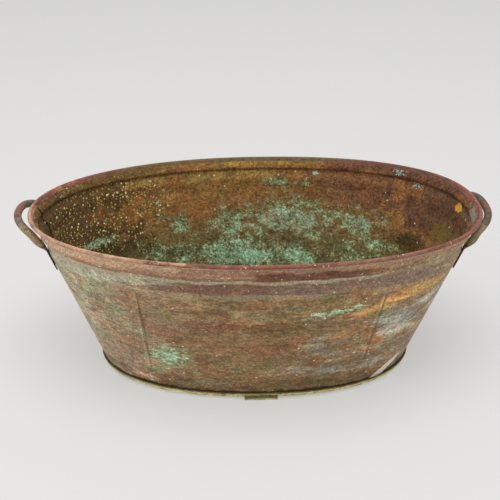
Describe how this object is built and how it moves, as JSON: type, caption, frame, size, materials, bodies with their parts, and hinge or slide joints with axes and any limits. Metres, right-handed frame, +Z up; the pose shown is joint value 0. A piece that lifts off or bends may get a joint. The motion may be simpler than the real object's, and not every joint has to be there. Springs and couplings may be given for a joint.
{
  "type": "oval drinks tub",
  "caption": "Oval flared copper tub with a rolled rim, grooved wall, seamed flat base, base strap and fixed loop handles, for keeping drinks on ice.",
  "frame": {"origin": "middle of the underside of the base strap, at the centre of the overall length and width, on the surface that the tub stands on", "axes": "+Z up out of the open top, +X along the length towards the right handle, -Y towards the front wall with the pressed frame"},
  "size_m": [0.6808, 0.4238, 0.234],
  "materials": {
    "copper_front": "streaked brown and mauve copper patina with green and blue-grey patches",
    "copper_back": "dark brown copper patina, speckled, with verdigris patches inside",
    "rim_iron": "plain iron wire, hidden in the rim",
    "base_copper": "yellow-olive tarnish along the seam",
    "strap_brass": "dull yellow-brown tarnish",
    "handle_copper": "grey-olive to reddish-brown tarnish, worn on the grip"
  },
  "bodies": {
    "root": {"front_wall_sheet": "copper_front", "back_wall_sheet": "copper_back", "rim_wire": "rim_iron", "base_sheet": "base_copper", "base_strap": "strap_brass", "left_handle": "handle_copper", "right_handle": "handle_copper"}
  },
  "joints": []
}
